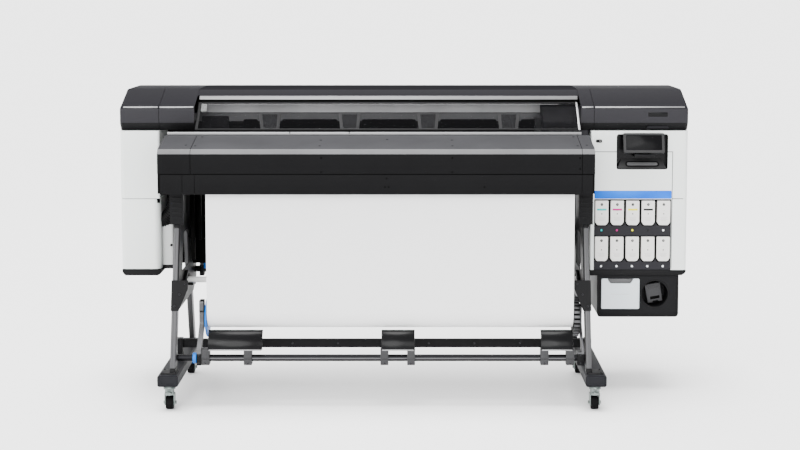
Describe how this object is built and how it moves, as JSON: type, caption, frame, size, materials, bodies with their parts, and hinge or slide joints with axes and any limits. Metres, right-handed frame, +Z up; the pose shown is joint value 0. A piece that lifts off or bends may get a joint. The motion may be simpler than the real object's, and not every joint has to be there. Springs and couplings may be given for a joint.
{
  "type": "wide-format roll-to-roll printer cutter",
  "caption": "Free-standing wide-format printer cutter on a caster stand, with ink cartridge tower, lifting window, sliding carriage, tilting display, feed roll and take-up reel.",
  "frame": {"origin": "centre of the whole machine's bounding box in plan, at floor level", "axes": "+Z up, -Y the operator's side with the window, cartridges and take-up reel, +X to the operator's right, along the machine's length"},
  "size_m": [2.583, 0.83, 1.389],
  "materials": {
    "left_foot_beam": "fine textured charcoal paint",
    "right_foot_beam": "fine textured charcoal paint",
    "left_front_strut": "silver-grey anodised",
    "right_front_strut": "silver-grey anodised",
    "left_rear_strut": "silver-grey anodised",
    "right_rear_strut": "silver-grey anodised",
    "left_leg_bracket": "satin black powder coat",
    "right_leg_bracket": "satin black powder coat",
    "cross_brace": "satin black powder coat",
    "take_up_crossbar": "black anodised tube",
    "input_crossbar": "black anodised tube",
    "tension_bar": "white coated tube",
    "left_take_up_arm": "satin grey",
    "right_take_up_arm": "satin grey",
    "left_input_arm": "satin grey",
    "right_input_arm": "satin grey",
    "left_deflector": "black",
    "centre_deflector": "black",
    "right_deflector": "black",
    "media_sheet": "white vinyl web",
    "chassis_beam": "dark coated sheet steel",
    "carriage_rail": "ground rail",
    "curing_housing": "satin black with a metallic grey top",
    "hood": "fine grained charcoal",
    "left_hood_cap": "fine grained charcoal",
    "right_hood_cap": "fine grained charcoal",
    "rear_cover": "fine grained charcoal",
    "left_tower_cover": "warm white",
    "left_tower_base": "black",
    "right_tower_cover": "warm white",
    "right_tower_base": "black",
    "ink_bay": "dark grey",
    "accessory_box": "black",
    "left_front_caster_fork": "zinc plated",
    "left_front_caster_wheel": "black tread",
    "left_rear_caster_fork": "zinc plated",
    "left_rear_caster_wheel": "black tread",
    "right_front_caster_fork": "zinc plated",
    "right_front_caster_wheel": "black tread",
    "right_rear_caster_fork": "zinc plated",
    "right_rear_caster_wheel": "black tread",
    "ink_cartridge_1": "off-white",
    "ink_cartridge_2": "off-white",
    "ink_cartridge_3": "off-white",
    "ink_cartridge_4": "off-white",
    "ink_cartridge_5": "off-white",
    "ink_cartridge_6": "off-white",
    "ink_cartridge_7": "off-white",
    "ink_cartridge_8": "off-white",
    "ink_cartridge_9": "off-white",
    "ink_cartridge_10": "off-white",
    "waste_container": "pale blue-white",
    "parking_rotor": "grey holder",
    "display_panel": "grey frame, black glass",
    "power_button": "black",
    "front_window": "smoked clear plastic",
    "print_carriage": "dark grey",
    "input_spindle": "blue hubs",
    "media_roll": "wound white vinyl",
    "take_up_spindle": "blue hubs"
  },
  "bodies": {
    "machine": {"left_foot_beam": "left_foot_beam", "right_foot_beam": "right_foot_beam", "left_front_strut": "left_front_strut", "right_front_strut": "right_front_strut", "left_rear_strut": "left_rear_strut", "right_rear_strut": "right_rear_strut", "left_leg_bracket": "left_leg_bracket", "right_leg_bracket": "right_leg_bracket", "cross_brace": "cross_brace", "take_up_crossbar": "take_up_crossbar", "input_crossbar": "input_crossbar", "tension_bar": "tension_bar", "left_take_up_arm": "left_take_up_arm", "right_take_up_arm": "right_take_up_arm", "left_input_arm": "left_input_arm", "right_input_arm": "right_input_arm", "left_deflector": "left_deflector", "centre_deflector": "centre_deflector", "right_deflector": "right_deflector", "media_sheet": "media_sheet", "chassis_beam": "chassis_beam", "carriage_rail": "carriage_rail", "curing_housing": "curing_housing", "hood": "hood", "left_hood_cap": "left_hood_cap", "right_hood_cap": "right_hood_cap", "rear_cover": "rear_cover", "left_tower_cover": "left_tower_cover", "left_tower_base": "left_tower_base", "right_tower_cover": "right_tower_cover", "right_tower_base": "right_tower_base", "ink_bay": "ink_bay", "accessory_box": "accessory_box"},
    "left_front_caster_fork": {"left_front_caster_fork": "left_front_caster_fork"},
    "left_front_caster_wheel": {"left_front_caster_wheel": "left_front_caster_wheel"},
    "left_rear_caster_fork": {"left_rear_caster_fork": "left_rear_caster_fork"},
    "left_rear_caster_wheel": {"left_rear_caster_wheel": "left_rear_caster_wheel"},
    "right_front_caster_fork": {"right_front_caster_fork": "right_front_caster_fork"},
    "right_front_caster_wheel": {"right_front_caster_wheel": "right_front_caster_wheel"},
    "right_rear_caster_fork": {"right_rear_caster_fork": "right_rear_caster_fork"},
    "right_rear_caster_wheel": {"right_rear_caster_wheel": "right_rear_caster_wheel"},
    "ink_cartridge_1": {"ink_cartridge_1": "ink_cartridge_1"},
    "ink_cartridge_2": {"ink_cartridge_2": "ink_cartridge_2"},
    "ink_cartridge_3": {"ink_cartridge_3": "ink_cartridge_3"},
    "ink_cartridge_4": {"ink_cartridge_4": "ink_cartridge_4"},
    "ink_cartridge_5": {"ink_cartridge_5": "ink_cartridge_5"},
    "ink_cartridge_6": {"ink_cartridge_6": "ink_cartridge_6"},
    "ink_cartridge_7": {"ink_cartridge_7": "ink_cartridge_7"},
    "ink_cartridge_8": {"ink_cartridge_8": "ink_cartridge_8"},
    "ink_cartridge_9": {"ink_cartridge_9": "ink_cartridge_9"},
    "ink_cartridge_10": {"ink_cartridge_10": "ink_cartridge_10"},
    "waste_container": {"waste_container": "waste_container"},
    "parking_rotor": {"parking_rotor": "parking_rotor"},
    "display_panel": {"display_panel": "display_panel"},
    "power_button": {"power_button": "power_button"},
    "front_window": {"front_window": "front_window"},
    "print_carriage": {"print_carriage": "print_carriage"},
    "input_roll": {"input_spindle": "input_spindle", "media_roll": "media_roll"},
    "take_up_spindle": {"take_up_spindle": "take_up_spindle"}
  },
  "joints": [
    {"name": "left_front_caster_swivel", "type": "hinge", "parent": "machine", "child": "left_front_caster_fork", "pos_m": [-1.0325, -0.365, 0.1135], "axis": [0, 0, 1], "continuous": true},
    {"name": "left_front_caster_roll", "type": "hinge", "parent": "left_front_caster_fork", "child": "left_front_caster_wheel", "pos_m": [-1.0325, -0.353, 0.03], "axis": [1, 0, 0], "continuous": true},
    {"name": "left_rear_caster_swivel", "type": "hinge", "parent": "machine", "child": "left_rear_caster_fork", "pos_m": [-1.0325, 0.275, 0.1135], "axis": [0, 0, 1], "continuous": true},
    {"name": "left_rear_caster_roll", "type": "hinge", "parent": "left_rear_caster_fork", "child": "left_rear_caster_wheel", "pos_m": [-1.0325, 0.287, 0.03], "axis": [1, 0, 0], "continuous": true},
    {"name": "right_front_caster_swivel", "type": "hinge", "parent": "machine", "child": "right_front_caster_fork", "pos_m": [0.842, -0.365, 0.1135], "axis": [0, 0, 1], "continuous": true},
    {"name": "right_front_caster_roll", "type": "hinge", "parent": "right_front_caster_fork", "child": "right_front_caster_wheel", "pos_m": [0.842, -0.353, 0.03], "axis": [1, 0, 0], "continuous": true},
    {"name": "right_rear_caster_swivel", "type": "hinge", "parent": "machine", "child": "right_rear_caster_fork", "pos_m": [0.842, 0.275, 0.1135], "axis": [0, 0, 1], "continuous": true},
    {"name": "right_rear_caster_roll", "type": "hinge", "parent": "right_rear_caster_fork", "child": "right_rear_caster_wheel", "pos_m": [0.842, 0.287, 0.03], "axis": [1, 0, 0], "continuous": true},
    {"name": "ink_cartridge_1_slide", "type": "slide", "parent": "machine", "child": "ink_cartridge_1", "axis": [0, -1, 0], "range_m": [0, 0.3]},
    {"name": "ink_cartridge_2_slide", "type": "slide", "parent": "machine", "child": "ink_cartridge_2", "axis": [0, -1, 0], "range_m": [0, 0.3]},
    {"name": "ink_cartridge_3_slide", "type": "slide", "parent": "machine", "child": "ink_cartridge_3", "axis": [0, -1, 0], "range_m": [0, 0.3]},
    {"name": "ink_cartridge_4_slide", "type": "slide", "parent": "machine", "child": "ink_cartridge_4", "axis": [0, -1, 0], "range_m": [0, 0.3]},
    {"name": "ink_cartridge_5_slide", "type": "slide", "parent": "machine", "child": "ink_cartridge_5", "axis": [0, -1, 0], "range_m": [0, 0.3]},
    {"name": "ink_cartridge_6_slide", "type": "slide", "parent": "machine", "child": "ink_cartridge_6", "axis": [0, -1, 0], "range_m": [0, 0.3]},
    {"name": "ink_cartridge_7_slide", "type": "slide", "parent": "machine", "child": "ink_cartridge_7", "axis": [0, -1, 0], "range_m": [0, 0.3]},
    {"name": "ink_cartridge_8_slide", "type": "slide", "parent": "machine", "child": "ink_cartridge_8", "axis": [0, -1, 0], "range_m": [0, 0.3]},
    {"name": "ink_cartridge_9_slide", "type": "slide", "parent": "machine", "child": "ink_cartridge_9", "axis": [0, -1, 0], "range_m": [0, 0.3]},
    {"name": "ink_cartridge_10_slide", "type": "slide", "parent": "machine", "child": "ink_cartridge_10", "axis": [0, -1, 0], "range_m": [0, 0.3]},
    {"name": "waste_container_slide", "type": "slide", "parent": "machine", "child": "waste_container", "axis": [0, -1, 0], "range_m": [0, 0.3]},
    {"name": "parking_rotor_turn", "type": "hinge", "parent": "machine", "child": "parking_rotor", "pos_m": [1.149, 0.033, 0.457], "axis": [0, -1, 0], "range_deg": [-78, 102]},
    {"name": "display_tilt", "type": "hinge", "parent": "machine", "child": "display_panel", "pos_m": [1.086, -0.103, 1.1135], "axis": [1, 0, 0], "range_deg": [0, 30]},
    {"name": "power_button_press", "type": "slide", "parent": "machine", "child": "power_button", "axis": [0, 1, 0], "range_m": [0, 0.0025], "stiffness_N_per_m": 900, "springref_m": -0.0008},
    {"name": "front_window_hinge", "type": "hinge", "parent": "machine", "child": "front_window", "pos_m": [0, 0.035, 1.33], "axis": [-1, 0, 0], "range_deg": [0, 80]},
    {"name": "print_carriage_slide", "type": "slide", "parent": "machine", "child": "print_carriage", "axis": [-1, 0, 0], "range_m": [0, 1.6]},
    {"name": "input_roll_turn", "type": "hinge", "parent": "machine", "child": "input_roll", "pos_m": [-0.0605, 0.235, 0.7], "axis": [1, 0, 0], "continuous": true},
    {"name": "take_up_turn", "type": "hinge", "parent": "machine", "child": "take_up_spindle", "pos_m": [-0.0605, -0.215, 0.385], "axis": [1, 0, 0], "continuous": true}
  ]
}
